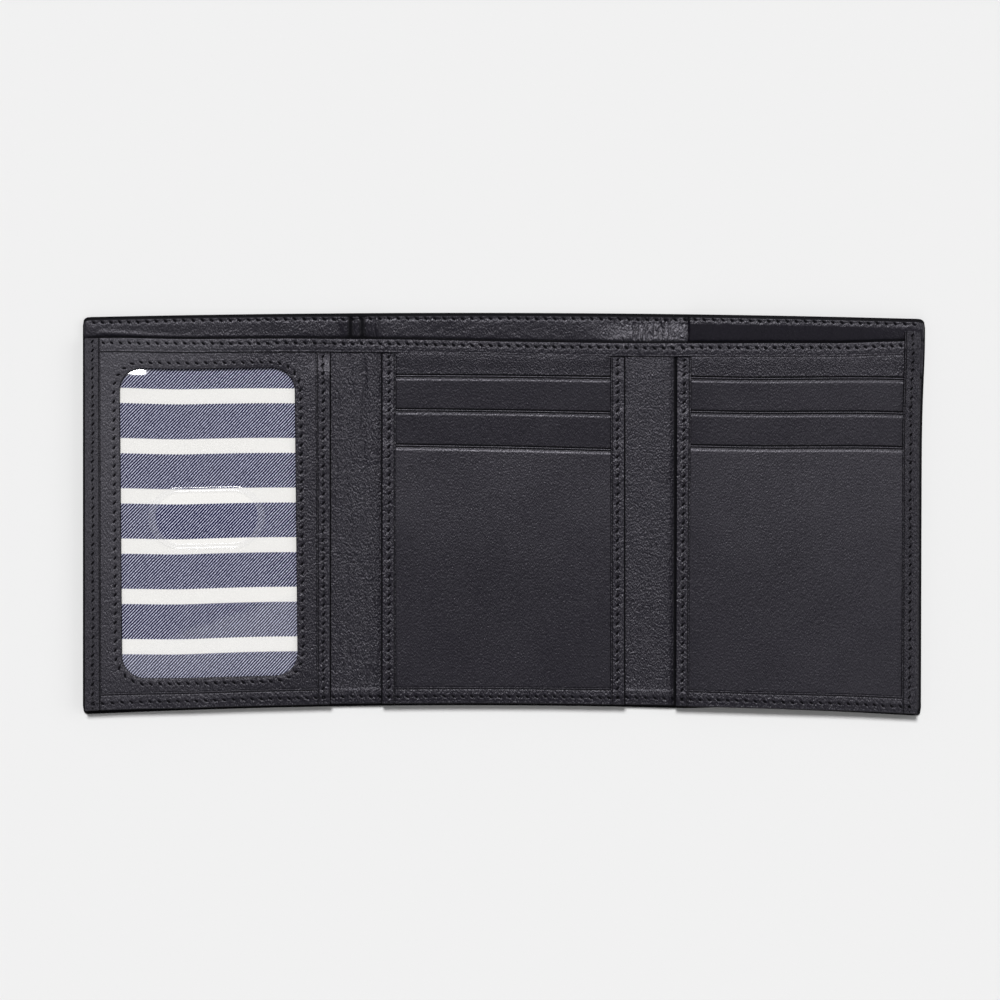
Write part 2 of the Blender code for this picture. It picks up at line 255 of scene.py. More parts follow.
def seam_shade(relief, hollow):
    """Shade value of needle holes and grooves, and of the hollows."""
    return 6.0 * np.minimum(relief + 0.05, 0) - hollow


# ---- meshes


def make_object(name, points, faces, material, shade=None):
    """A mesh from flat points in millimetres. rest keeps them for the materials; shade is painted shade where
    negative, and rubbing with painted highlights where positive.
    """
    points = np.asarray(points, float)
    mesh = bpy.data.meshes.new(name)
    x, y = points[:, 0], points[:, 1]
    if name.endswith(OUTER_PIECES):
        y = y + hem_in(x, y)
    else:
        x, y = sag(x, y)
    x, y = settle(x, y)
    placed = np.column_stack((x, y, points[:, 2])) * MM
    mesh.from_pydata(placed.tolist(), [], faces)
    mesh.validate()
    rest = mesh.attributes.new("rest", "FLOAT_VECTOR", "POINT")
    rest.data.foreach_set("vector", points.astype(np.float32).ravel())
    value = np.zeros(len(points)) if shade is None else np.asarray(shade)
    wear_and_painted_light = mesh.attributes.new("shade", "FLOAT", "POINT")
    wear_and_painted_light.data.foreach_set("value", value.astype(np.float32))
    mesh.materials.append(material)
    mesh.shade_smooth()
    mesh.set_sharp_from_angle(angle=math.radians(62))
    return into_scene(name, mesh)


def into_scene(name, data):
    made = bpy.data.objects.new(name, data)
    bpy.context.scene.collection.objects.link(made)
    return made


def corner_circles(low, high, radius, corners):
    """Which way each named corner points along x and y, and the middle of its circle."""
    for corner in corners:
        sx = 1 if corner[0] == "r" else -1
        sy = 1 if corner[1] == "t" else -1
        cx = (high[0] - radius) if sx > 0 else (low[0] + radius)
        cy = (high[1] - radius) if sy > 0 else (low[1] + radius)
        yield sx, sy, cx, cy


def round_corners(x, y, low, high, radius, corners):
    """Moves a grid's points so that the named corners of its outline become round."""
    for sx, sy, cx, cy in corner_circles(low, high, radius, corners):
        a = np.clip((x - cx) * sx / radius, 0, 1)
        b = np.clip((y - cy) * sy / radius, 0, 1)
        inside = (a > 0) & (b > 0)
        x = np.where(inside, cx + sx * radius * a * np.sqrt(1 - b * b / 2), x)
        y = np.where(inside, cy + sy * radius * b * np.sqrt(1 - a * a / 2), y)
    return x, y


def edge_distance(x, y, low, high, sides, radius, corners):
    """How far a point is inside the outline, counting only the named sides."""
    far = np.full(x.shape, 1e3)
    for side, gap in (("l", x - low[0]), ("r", high[0] - x), ("b", y - low[1]), ("t", high[1] - y)):
        if side in sides:
            far = np.minimum(far, gap)
    for sx, sy, cx, cy in corner_circles(low, high, radius, corners):
        dx, dy = (x - cx) * sx, (y - cy) * sy
        inside = (dx > 0) & (dy > 0)
        far = np.where(inside, np.minimum(far, radius - np.hypot(dx, dy)), far)
    return np.maximum(far, 0)


def two_layers(x, y, upper, lower, inward, edge, share):
    """Points of a sheet's top, then its bottom, which close in on each other over the last edge mm."""
    roll = 1 - np.sqrt(1 - (1 - np.clip(inward / edge, 0, 1)) ** 2)
    thick = upper - lower
    upper = upper - roll * thick * share[0]
    lower = lower + roll * thick * share[1]
    return np.concatenate([np.stack((x, y, z), -1).reshape(-1, 3) for z in (upper, lower)])


def edge_wear_and_shade(inward, edge, own):
    """Shade values of a sheet's points: a rubbed, lighter ridge that is partly painted highlight, a dark line
    of painted shade at the edge, and the sheet's own shade.
    """
    wear_and_shade = 0.25 * bell(inward - edge * 0.7, edge * 0.5) - 0.9 * bell(inward, 0.15) + own
    return np.concatenate((wear_and_shade.ravel(), wear_and_shade.ravel()))


def slab(name, xs, ys, top, bottom, material, sides, corners=(), edge=0.3, share=(0.62, 0.3), shade=None):
    """A closed sheet between two height functions, with rolled edges on the named sides."""
    x, y = np.meshgrid(xs, ys)
    low, high = (xs[0], ys[0]), (xs[-1], ys[-1])
    x, y = round_corners(x, y, low, high, CORNER, corners)
    inward = edge_distance(x, y, low, high, sides, CORNER, corners)
    lower = bottom(x, y) if callable(bottom) else np.full(x.shape, float(bottom))
    points = two_layers(x, y, top(x, y), lower, inward, edge, share)
    rows, columns = x.shape
    count = rows * columns
    index = np.arange(count).reshape(rows, columns)
    quads = np.stack((index[:-1, :-1], index[:-1, 1:], index[1:, 1:], index[1:, :-1]), -1).reshape(-1, 4)
    faces = quads.tolist() + (quads[:, ::-1] + count).tolist()
    rim = np.concatenate((index[0, :-1], index[:-1, -1], index[-1, :0:-1], index[:0:-1, 0]))
    following = np.roll(rim, -1)
    faces += np.stack((rim, rim + count, following + count, following), -1).tolist()
    wear_and_shade = edge_wear_and_shade(inward, edge, shade(x, y) if shade else 0)
    return make_object(name, points, faces, material, wear_and_shade)


def capsule(centre, direction, length, radius, sink):
    """Points and faces of one stitch, whose ends dive by sink."""
    rings, sides = 7, 8
    place = np.linspace(-1, 1, rings)[:, None]
    size = radius * np.sqrt(np.maximum(1 - np.abs(place) ** 3.2, 0.06))
    turn = np.arange(sides) * 2 * np.pi / sides
    along, across = place * length / 2, size * np.cos(turn)
    dx, dy = direction
    points = np.stack((
        centre[0] + dx * along - dy * across,
        centre[1] + dy * along + dx * across,
        centre[2] - sink * np.abs(place) ** 3 + 0.8 * size * np.sin(turn),
    ), -1).reshape(-1, 3).tolist()
    index = np.arange(rings * sides).reshape(rings, sides)
    after = np.roll(index, -1, axis=1)
    walls = np.stack((index[:-1], index[1:], after[1:], after[:-1]), -1).reshape(-1, 4)
    return points, [*walls.tolist(), index[0].tolist(), index[-1, ::-1].tolist()]


def thread_row(name, stitches, height, under=False):
    """One object with a row's stitches. height gives the leather's surface at a stitch."""
    points, faces = [], []
    for (x, y), (dx, dy), number, pitch in stitches:
        turn = math.radians(9 + 8 * (float(chance(number, 2.0)) - 0.5))
        way = (dx * math.cos(turn) - dy * math.sin(turn), dx * math.sin(turn) + dy * math.cos(turn))
        z = float(height(np.array(x), np.array(y)))
        sink = -0.10 if under else 0.22
        made, quads = capsule((x, y, z - 0.07), way, pitch - 0.80, THREAD_RADIUS, sink)
        faces += [[corner + len(points) for corner in quad] for quad in quads]
        points += made
    return make_object(name, points, faces, THREAD)


def outline_points(centre, half, radius, step):
    """Points and outward normals round a rounded rectangle, counter-clockwise."""
    points, normals = [], []
    middles = [np.array(way) * (np.array(half) - radius) for way in ((1, 1), (-1, 1), (-1, -1), (1, -1))]
    turns = max(6, int(math.ceil(radius * math.pi / 2 / step)))
    for order, middle in enumerate(middles):
        for turn in range(turns + 1):
            angle = math.radians(90 * order + 90 * turn / turns)
            normal = np.array((math.cos(angle), math.sin(angle)))
            points.append(middle + radius * normal)
            normals.append(normal)
        run = middles[(order + 1) % 4] - middle
        pieces = int(math.ceil(np.linalg.norm(run) / step))
        if pieces < 2:
            points.pop()
            normals.pop()
        for _ in range(1, pieces):
            points.append(points[-1] + run / pieces)
            normals.append(normals[-1])
    return np.array(points) + centre, np.array(normals)


def ring_slab(name, inner, near, beyond, reach, top, bottom, material, edge, share=(0.6, 0.25), shade=None):
    """A closed sheet with a hole. inner is (points, normals) of the hole, near the places from its edge,
    beyond the shares of what is left, and reach(points, normals) how far each ray goes."""
    start, normals = inner
    length = reach(start, normals)
    near = np.array(near)
    steps = np.concatenate((
        np.broadcast_to(near, (len(start), len(near))),
        near[-1] + (length[:, None] - near[-1]) * np.array(beyond)[None, :],
    ), axis=1)
    x = start[:, 0, None] + normals[:, 0, None] * steps
    y = start[:, 1, None] + normals[:, 1, None] * steps
    inward = np.minimum(steps, length[:, None] - steps)
    points = two_layers(x, y, top(x, y, steps), bottom(x, y, steps), inward, edge, share)
    around, across = x.shape
    count = around * across
    index = np.arange(count).reshape(around, across)
    after = np.roll(index, -1, axis=0)
    quads = np.stack((index[:, :-1], index[:, 1:], after[:, 1:], after[:, :-1]), -1).reshape(-1, 4)
    faces = quads.tolist() + (quads[:, ::-1] + count).tolist()
    inner_wall = np.stack((index[:, 0], after[:, 0], after[:, 0] + count, index[:, 0] + count), -1)
    outer_wall = np.stack((after[:, -1], index[:, -1], index[:, -1] + count, after[:, -1] + count), -1)
    faces += inner_wall.tolist() + outer_wall.tolist()
    wear_and_shade = edge_wear_and_shade(inward, edge, shade(x, y, steps) if shade else 0)
    return make_object(name, points, faces, material, wear_and_shade)


FAR = 80.0
HALVINGS = 40


def ray_to_box(low, high, radius, corners):
    """How far rays from inside a rectangle go before they leave it."""
    def reach(points, normals):
        near, far = np.zeros(len(points)), np.full(len(points), FAR)
        for _ in range(HALVINGS):
            middle = (near + far) / 2
            x = points[:, 0] + normals[:, 0] * middle
            y = points[:, 1] + normals[:, 1] * middle
            within = edge_distance(x, y, low, high, "lrbt", radius, corners) > 0
            near = np.where(within, middle, near)
            far = np.where(within, far, middle)
        return near
    return reach


# ---- materials


class Shader:
    """Builds a material's nodes. An input is a number, a colour or another node's output."""

    def __init__(self, name):
        self.material = bpy.data.materials.new(name)
        self.material.use_nodes = True
        self.tree = self.material.node_tree
        self.tree.nodes.clear()
        self.out = self.tree.nodes.new("ShaderNodeOutputMaterial")

    def add(self, kind, inputs=None, output=0, **settings):
        node = self.tree.nodes.new("ShaderNode" + kind)
        for key, value in settings.items():
            setattr(node, key, value)
        for key, value in (inputs or {}).items():
            self.feed(node.inputs[key], value)
        return node.outputs[output]

    def feed(self, socket, value):
        if isinstance(value, bpy.types.NodeSocket):
            self.tree.links.new(value, socket)
        else:
            socket.default_value = value

    def math(self, operation, a, b=0.0):
        return self.add("Math", {0: a, 1: b}, operation=operation)

    def times(self, a, b):
        return self.math("MULTIPLY", a, b)

    def plus(self, a, b):
        return self.math("ADD", a, b)

    def minus(self, a, b):
        return self.math("SUBTRACT", a, b)

    def split(self, vector):
        """The X and Y of a vector."""
        node = self.tree.nodes.new("ShaderNodeSeparateXYZ")
        self.tree.links.new(vector, node.inputs[0])
        return node.outputs["X"], node.outputs["Y"]

    def principled(self, colour, roughness, normal, **inputs):
        named = {key.replace("_", " "): value for key, value in inputs.items()}
        return self.add("BsdfPrincipled", {
            "Base Color": colour, "Roughness": roughness, "Normal": normal, **named,
        })

    def rest(self):
        """The point's place on the flat wallet, in millimetres."""
        return self.add("Attribute", attribute_name="rest", output="Vector")

    def shade(self):
        return self.add("Attribute", attribute_name="shade", output="Fac")

    def stretch(self, vector, *scale):
        return self.add("Mapping", {"Vector": vector, "Scale": scale})

    def noise(self, vector, scale, detail=3.0, rough=0.5, warp=0.0):
        return self.add("TexNoise", {
            "Vector": vector, "Scale": scale, "Detail": detail, "Roughness": rough, "Distortion": warp,
        }, output="Fac")

    def ramp(self, value, low, high, start=0.0, end=1.0):
        return self.add("MapRange", {
            "Value": value, "From Min": low, "From Max": high, "To Min": start, "To Max": end,
        }, interpolation_type="SMOOTHSTEP")

    def mix(self, factor, a, b):
        """A colour mix. The node has hidden sockets of the same names, so only the enabled ones count."""
        node = self.tree.nodes.new("ShaderNodeMix")
        node.data_type = "RGBA"
        wanted = {"Factor": factor, "A": a, "B": b}
        for socket in node.inputs:
            if socket.enabled and socket.name in wanted:
                self.feed(socket, wanted[socket.name])
        return next(socket for socket in node.outputs if socket.enabled)

    def bump(self, height, distance, below=None):
        """Bump of up to distance, in millimetres, over another bump where there is one."""
        inputs = {"Height": height, "Distance": distance * MM, "Strength": 1.0}
        if below is not None:
            inputs["Normal"] = below
        return self.add("Bump", inputs)

    def finish(self, surface):
        self.tree.links.new(surface, self.out.inputs["Surface"])
        return self.material


def leather(name, grain, depth, rough=(0.28, 0.35), dyes=None, wrinkled=(), tone_lift=1.0):
    """Dyed grain leather: fine pores and pebbles of about grain mm, rubbed edges with painted highlights,
    painted shade in needle holes, creases and along edges, and painted light that makes it lighter towards
    both ends of the wallet.

    wrinkled lists the places along x, as (from, to, depth), where long upright creases cross it.
    """
    s = Shader(name)
    rest = s.rest()
    mottle = s.noise(rest, 1.4, 4.0, 0.6)
    patches = s.noise(rest, 0.10, 3.0, 0.6)
    tight = s.stretch(rest, 1.75, 0.78, 1.0)
    x, y = s.split(rest)
    cells = s.add("TexVoronoi", {"Vector": tight, "Scale": 1.0 / grain, "Randomness": 1.0},
                  output="Distance", feature="SMOOTH_F1")
    pores = s.noise(tight, 2.0, 2.0, 0.6)
    colour = s.mix(s.ramp(mottle, 0.3, 0.7), *(dyes or (DYE_DARK, DYE_LIGHT)))
    # Painted light: the leather mixes towards a lighter tone over the left flap, more towards its top, and a
    # little towards the right end, standing in for brighter light there.
    painted_light = s.times(s.ramp(x, -54.0, -96.0), s.ramp(y, -50.0, 30.0, 0.3, 1.0))
    painted_light = s.plus(painted_light, s.ramp(x, 60.0, 112.0, 0.0, 0.20))
    painted_light = s.times(painted_light, s.ramp(mottle, 0.25, 0.75, 0.6 * tone_lift, tone_lift))
    colour = s.mix(painted_light, colour, PAINTED_LIGHT_AND_WEAR_TONE)
    # Positive shade values lighten towards the same tone: rubbing on edges, and painted highlights on pocket
    # edges and edge ridges.
    wear_and_painted_light = s.times(s.ramp(s.shade(), 0.1, 0.9), s.ramp(mottle, 0.3, 0.7, 0.15, 0.5))
    colour = s.mix(wear_and_painted_light, colour, PAINTED_LIGHT_AND_WEAR_TONE)
    # Negative shade values are painted shade in holes, creases, grooves and dark lines: they blacken the
    # colour, roughen it and mix in a matte black surface.
    painted_shade = s.ramp(s.shade(), -0.08, -0.8)
    colour = s.mix(s.times(painted_shade, 0.9), colour, PAINTED_SHADE_BLACK)
    roughness = s.plus(s.times(mottle, 0.7), s.times(patches, 0.3))
    roughness = s.ramp(roughness, 0.3, 0.7, *rough)
    roughness = s.plus(roughness, s.ramp(x, -62.0, -108.0, 0.0, 0.07))
    roughness = s.plus(roughness, s.ramp(x, 48.0, 62.0, 0.0, 0.035))
    roughness = s.math("MAXIMUM", roughness, s.times(painted_shade, 0.85))
    normal = s.bump(s.minus(1.0, cells), depth * 0.8)
    normal = s.bump(pores, depth * 1.7, normal)
    if wrinkled:
        creases = s.noise(s.stretch(rest, 1.0, 0.30, 0.5), 1.0, 2.0, 0.5, 0.5)
        folded = s.ramp(s.math("ABSOLUTE", s.minus(creases, 0.5)), 0.0, 0.24)
        for start, end, crease_depth in wrinkled:
            within = s.times(s.ramp(x, start - 3, start + 3), s.ramp(x, end + 1, end - 1))
            normal = s.bump(s.times(folded, within), crease_depth, normal)
    skin = s.principled(colour, roughness, normal, Specular_IOR_Level=0.5, IOR=1.48,
                        Specular_Tint=(0.93, 0.90, 1.0, 1))
    hollow = s.add("BsdfDiffuse", {"Color": PAINTED_SHADE_MATTE, "Normal": normal})
    return s.finish(s.add("MixShader", {0: s.times(painted_shade, 0.8), 1: skin, 2: hollow}))


def thread_material(name):
    """Bonded black sewing thread: fine twisted fibres with a soft sheen."""
    s = Shader(name)
    rest = s.rest()
    twist = s.add("TexWave", {"Vector": rest, "Scale": 2.4, "Distortion": 1.5, "Detail": 2.0},
                  output="Fac", bands_direction="DIAGONAL")
    fibre = s.noise(rest, 9.0, 3.0)
    colour = s.mix(s.times(twist, 0.7), (0.0012, 0.0012, 0.0015, 1), (0.0065, 0.0065, 0.0075, 1))
    normal = s.bump(s.plus(twist, s.times(fibre, 0.4)), 0.03)
    roughness = s.ramp(fibre, 0.3, 0.7, 0.55, 0.75)
    return s.finish(s.principled(colour, roughness, normal, Specular_IOR_Level=0.25))


def lining_material(name):
    """Black plain-woven lining: crossing yarns, slubs and a little dust."""
    s = Shader(name)
    rest = s.rest()
    yarns = {"Vector": rest, "Scale": 1.15, "Distortion": 0.6, "Detail": 1.0}
    weave = s.math("MAXIMUM", *(s.add("TexWave", yarns, "Fac", bands_direction=way) for way in "XY"))
    slub = s.noise(s.stretch(rest, 0.3, 2.0, 1.0), 1.0, 3.0)
    colour = s.mix(weave, (0.007, 0.007, 0.008, 1), (0.026, 0.026, 0.030, 1))
    colour = s.mix(s.ramp(slub, 0.6, 0.8), colour, (0.040, 0.040, 0.046, 1))
    return s.finish(s.principled(colour, s.ramp(slub, 0.2, 0.8, 0.78, 0.94), s.bump(weave, 0.05),
                                 Sheen_Weight=0.12, Sheen_Roughness=0.5))


STRIPE_PITCH = 13.60
STRIPE_WHITE = 4.08
STRIPE_MIDDLE_Y = 4.37
STRIPE_TILT = -0.0129
STRIPE_FAN = 0.000135
TWILL_PITCH = 0.88


def twill_material(name):
    """Navy and pale grey twill with white cross stripes, as woven: slanting ribs in the navy only."""
    s = Shader(name)
    rest = s.rest()
    x, y = s.split(rest)
    sway = s.times(s.math("SINE", s.times(x, 0.075)), 0.25)
    level = s.minus(s.minus(y, STRIPE_MIDDLE_Y), sway)
    level = s.minus(level, s.times(s.plus(x, 80.5), STRIPE_TILT))
    jag = s.times(s.math("SINE", s.times(x, 2 * math.pi / TWILL_PITCH)), 0.07)
    fan = s.plus(s.times(s.plus(x, 80.5), STRIPE_FAN), 1.0)
    level = s.times(s.plus(level, jag), fan)
    place = s.plus(s.math("DIVIDE", level, STRIPE_PITCH), 0.5)
    within = s.math("ABSOLUTE", s.minus(s.math("FRACT", place), 0.5))
    half = STRIPE_WHITE / 2 / STRIPE_PITCH
    white = s.ramp(within, half + 0.006, half - 0.006)
    slant = s.minus(x, s.times(y, 0.965))
    uneven = s.noise(s.stretch(rest, 0.35, 0.35, 1.0), 1.0, 2.0)
    slant = s.plus(slant, s.times(uneven, 0.3))
    rib = s.math("SINE", s.times(slant, 2 * math.pi / TWILL_PITCH))
    broken = s.noise(rest, 2.6, 2.0, 0.6)
    thread = s.ramp(s.plus(rib, s.times(s.minus(broken, 0.5), 1.3)), 0.42, 0.98)
    tone_lift = s.ramp(s.noise(rest, 0.05, 2.0), 0.35, 0.65, 0.0, 0.35)
    navy = s.mix(tone_lift, (0.0015, 0.0012, 0.030, 1), (0.004, 0.0040, 0.044, 1))
    pale = s.mix(broken, (0.60, 0.62, 0.84, 1), (0.80, 0.81, 0.98, 1))
    woven = s.mix(thread, navy, pale)
    cloth = s.mix(s.ramp(broken, 0.3, 0.8), (0.77, 0.76, 0.74, 1), (0.82, 0.81, 0.79, 1))
    colour = s.mix(white, woven, cloth)
    height = s.mix(white, thread, s.noise(rest, 3.2, 2.0))
    return s.finish(s.principled(colour, s.ramp(broken, 0.2, 0.8, 0.72, 0.9), s.bump(height, 0.05),
                                 Specular_IOR_Level=0.1))


def film_material(name, cloud, frost=0.0):
    """Clear flexible film: see-through, thinly glossy, and a little milky below a slanting line, which is a
    painted reflection.
    """
    s = Shader(name)
    rest = s.rest()
    x, y = s.split(rest)
    # Painted reflection: below a slanting line the film mixes in its milky body, standing in for a lamp's
    # soft reflection.
    fall = s.minus(y, s.times(x, 0.333))
    wander = s.times(s.minus(s.noise(rest, 0.09, 2.0), 0.5), 3.0)
    fall = s.plus(fall, wander)
    painted_reflection = s.times(s.ramp(fall, -2.8, -4.6, 0.0, 0.024), s.ramp(fall, -26.0, -6.0, 0.55, 1.0))
    scuff = s.ramp(s.noise(s.stretch(rest, 0.5, 1.6, 1.0), 1.0, 4.0), 0.60, 0.78, 0.0, 0.012)
    cloud_and_reflection = s.plus(s.plus(painted_reflection, scuff), cloud)
    clear = s.add("BsdfTransparent", {"Color": (1.0, 1.0, 1.0, 1)})
    dents = s.bump(s.noise(rest, 0.6, 2.0), 0.02)
    body = s.principled((0.93, 0.94, 1.0, 1), 0.3, dents, Specular_IOR_Level=0.5)
    gloss = s.add("BsdfGlossy", {"Color": (1, 1, 1, 1), "Roughness": 0.10 + frost})
    slant = s.math("POWER", s.add("LayerWeight", {"Blend": 0.5}, output="Facing"), 5.0)
    mirror = s.plus(s.times(slant, 0.8), 0.022)
    surface = s.add("MixShader", {0: cloud_and_reflection, 1: clear, 2: body})
    return s.finish(s.add("MixShader", {0: mirror, 1: surface, 2: gloss}))


DYE_DARK = (0.0034, 0.0028, 0.0058, 1)
DYE_LIGHT = (0.0056, 0.0048, 0.0088, 1)
# The lighter tone that painted light, rubbing and painted highlights mix towards.
PAINTED_LIGHT_AND_WEAR_TONE = (0.030, 0.029, 0.035, 1)
# Colours of painted shade.
PAINTED_SHADE_BLACK = (0.0015, 0.0015, 0.002, 1)
PAINTED_SHADE_MATTE = (0.003, 0.003, 0.004, 1)
OUTER_DYES = ((0.009, 0.008, 0.012, 1), (0.016, 0.015, 0.020, 1))
# tone_lift sets how strongly each leather takes the painted light.
LEATHER = {
    "shell": leather("shell_leather", 0.90, 0.15, (0.38, 0.48), OUTER_DYES),
    "inner": leather("inner_leather", 0.48, 0.105, tone_lift=1.2),
    "rim": leather("rim_leather", 0.55, 0.260, (0.31, 0.40), tone_lift=1.6),
    "pocket": leather("pocket_leather", 0.42, 0.050, (0.30, 0.37)),
    "facing": leather("facing_leather", 0.50, 0.080, wrinkled=((-45, -33, 0.08), (31, 49.5, 0.10)), tone_lift=0.2),
    "carrier": leather("spine_leather", 0.50, 0.120, wrinkled=((-47, -33, 0.050),)),
}
THREAD = thread_material("sewing_thread")
LINING = lining_material("woven_lining")
TWILL = twill_material("striped_twill_cloth")
FILM = film_material("window_film", 0.008)
FROSTED = film_material("window_film_rim", 0.035)


# ---- rows of stitches

HEM_SEAM = Seam("x", -108.2, 108.2, HEM_SEAM_Y, -1)
TOP_SEAM = Seam("x", -OUTER_SEAM_X, OUTER_SEAM_X, TOP_SEAM_Y, -1)
BOTTOM_SEAM = Seam("x", -OUTER_SEAM_X, OUTER_SEAM_X, BOTTOM_SEAM_Y, -1)


RIGHT_STRIP_TOP = 53.1
SIDE_TOP = box("centre_strip_left")[1][1] - 0.9
OUTER_TOP = box("left_strip_outer")[1][1] - 0.9
SIDES = {name: Seam("y", BOTTOM_SEAM_Y, top, x) for name, x, top in (
    ("left_outer", -OUTER_SEAM_X, OUTER_TOP),
    ("left_inner", -FLAP_SEAM_X, SIDE_TOP),
    ("centre_left", -CENTRE_SEAM_X, SIDE_TOP),
    ("centre_right", CENTRE_SEAM_X, SIDE_TOP),
    ("right_inner", FLAP_SEAM_X, SIDE_TOP),
    ("right_outer", OUTER_SEAM_X, RIGHT_STRIP_TOP - 1.6),
)}


# ---- layers over the whole width


def mount(piece, section, slot, *nodes):
    """Bakes a piece's place into its mesh and hides the CAD parts that it stands for."""
    a, b = section["bodies"]
    start, end = section["zone"]
    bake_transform(piece)
    describe(nodes)


def fixed(piece, body, slot, *nodes):
    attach(piece, body)
    describe(nodes)


def describe(nodes):
    if nodes:
        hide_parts(*nodes)


def fold_wrinkles(x, y):
    """Upright wrinkles where the leather bends over the two spines."""
    left = stretch_of(x, -46, -32)
    right = stretch_of(x, 31, 49, 3, 2)
    return left * ripple(x, y, 11, 1.9, 26) + right * ripple(x, y, 15, 1.9, 14)


def facing_slope(x):
    """How much the back of the note compartment leans up towards the hem, per millimetre."""
    slack = 0.022 * np.sin(x * 0.09 + 1.0) - 0.015
    left = -0.075 * stretch_of(x, -45.5, -32.5)
    bright = 0.150 * stretch_of(x, 18, 50, 22, 0.8)
    right = -0.26 * smooth((x - 49.2) / 0.8) * (1 - 0.5 * smooth((x - 96) / 12))
    return slack * smooth((-50 - x) / 10) + left + bright + right - 0.036


def facing_top(x, y):
    slope = facing_slope(x)
    lean = slope * (np.where(slope > 0, 51.2, 45.5) - np.clip(y, 45.5, 51.2))
    sway = 0.02 * ripple(x, y, 21, 30, 12) + 0.010 * ripple(x, y, 22, 5, 3)
    gap = y - sag(x, 47.4 + 0 * y)[1]
    tuck = -0.16 * bell(gap - 0.1, 0.45)
    rise = smooth((x + 112) / 4) * (1 - 0.75 * smooth((x + 104) / 34)) * smooth((-52 - x) / 10)
    tuck = tuck + 0.15 * rise * bell(gap - 1.5 + 0.9 * smooth((x + 110) / 18), 0.7)
    return FACING_TOP + sway + lean + tuck + 0.07 * fold_wrinkles(x, y) + TOP_SEAM.relief(x, y)


def facing_shade(x, y):
    # Painted shade: a shadow line along the hem's top edge, a dark top rim, two dark creases over the left
    # spine, and the top row's stitch holes.
    gap = y - sag(x, 47.4 + 0 * y)[1]
    rim = smooth((y - 52.7) / 0.25)
    creases = 0.8 * bell(x + 41.6, 0.8) + 0.7 * bell(x + 38.4, 1.0)
    return dark_seam(TOP_SEAM)(x, y) - 0.7 * bell(gap - 0.2, 0.5) - 0.8 * rim - creases


def shell_bottom(x, y):
    """The outer face, with the groove that the stitches lie in."""
    gaps = (y - TOP_SEAM_Y, y - BOTTOM_SEAM_Y, np.abs(x) - OUTER_SEAM_X)
    return 0.15 * np.minimum(sum(bell(gap, 0.45) for gap in gaps), 1)


def shell_shade(x, y):
    """The outer leather darkened along its rim: partly its edge paint, partly painted shade on the rounded
    rim.
    """
    gaps = (np.abs(x) - HALF_WIDTH, np.abs(y) - HALF_HEIGHT)
    return -0.9 * sum(smooth((gap + 0.9) / 0.4) for gap in gaps)


RIGHT_VALLEY_X = 46.8


def spine_top(x, y):
    """The inner leather between the panels: creased on the left spine, nearly smooth on the right."""
    left = stretch_of(x, -48, -32)
    right = stretch_of(x, 32, 48)
    valley = bell(x + 37.9 + 0.25 * np.sin(y * 0.11), 0.75) * smooth((44 - y) / 6) * smooth((y + 4) / 30)
    second = bell(x + 42.4 + 0.4 * np.sin(y * 0.09 + 2), 1.3)
    creases = 0.026 * ripple(x, y, 31, 1.9, 16) + 0.010 * ripple(x, y, 32, 1.0, 2.4)
    left_form = creases - 0.30 * valley - 0.10 * second - 0.20 * bell(x + 33.2, 0.7)
    right_form = 0.02 * ripple(x, y, 33, 7, 20) + 0.10 * bell(x - 39, 5.0) * smooth((y + 60) / 100)
    right_form = right_form - 0.40 * bell(x - RIGHT_VALLEY_X, 1.1)
    behind = stretch_of(x, -30, 30) + smooth((x - 50) / 2)
    back = (0.40 - 0.12 * smooth((x - 30) / 5)) * (1 - smooth((y - 44.0) / 0.7))
    back = back * behind * smooth((y - 37) / 6.5)
    return PANEL_TOP + left * left_form + right * right_form + back + 0.015 * ripple(x, y, 34, 24, 30)


def carrier_top(x, y):
    step = 0.14 * smooth((BOTTOM_SEAM_Y + 2.5 - y) / 0.5)
    step = step - 0.15 * smooth((BOTTOM_SEAM_Y + 0.6 - y) / 2.0)
    return spine_top(x, y) + step + BOTTOM_SEAM.relief(x, y)


def carrier_shade(x, y):
    # Painted shadow lines on the inner leather: beside the strips' edges, in the right spine's valley and
    # just above the upper pockets' edges; and painted shade in the bottom row's stitch holes.
    painted_shadow_lines = bell(x + CENTRE_EDGE_X, 0.30) + bell(x + FLAP_EDGE_X, 0.30)
    painted_shadow_lines = painted_shadow_lines + bell(x - CENTRE_EDGE_X, 0.25) + bell(x - RIGHT_VALLEY_X, 0.60)
    for panel in POCKETS:
        low, high = box(panel + "_slot_upper")
        within = stretch_of(x, low[0] + 1.3, high[0] - 1.3, 0.3)
        painted_shadow_lines = painted_shadow_lines + 1.3 * within * bell(y - high[1] + pocket_drop(panel, 0, x) - 0.16, 0.27)
    return dark_seam(BOTTOM_SEAM)(x, y) - 0.85 * painted_shadow_lines


# Each panel's pockets, the upper first: how far the edge falls from left to right, and how low it hangs.
POCKETS = {
    "centre": ((0.5, 0.8, 1.2), (0.60, 0.90, 1.30)),
    "right": ((0.0, 0.1, 0.1), (0.50, 0.60, 0.50)),
}


def pocket_drop(panel, order, x):
    """How far below its place in the CAD model a pocket's edge hangs."""
    low, high = box(panel + "_slot_upper")
    tilts, drops = POCKETS[panel]
    return drops[order] + tilts[order] * (x - (low[0] + high[0]) / 2) / (high[0] - low[0])


def window_corner(x, y):
    """How far the window panel's top inner corner is pressed down beneath the hem."""
    return 1.32 * smooth((x + 54) / 9) * smooth((y - 36.5) / 7)


def far_corner(x, y):
    """How far the last strip comes down from the panel to the top edge of the right flap."""
    return 2.35 * smooth((x - 106) / 2) * smooth((y - 45.5) / 7)


def under_strip(x, y):
    return np.where(y > 46.0, FACING_TOP - 0.25, PANEL_TOP + 0.03)


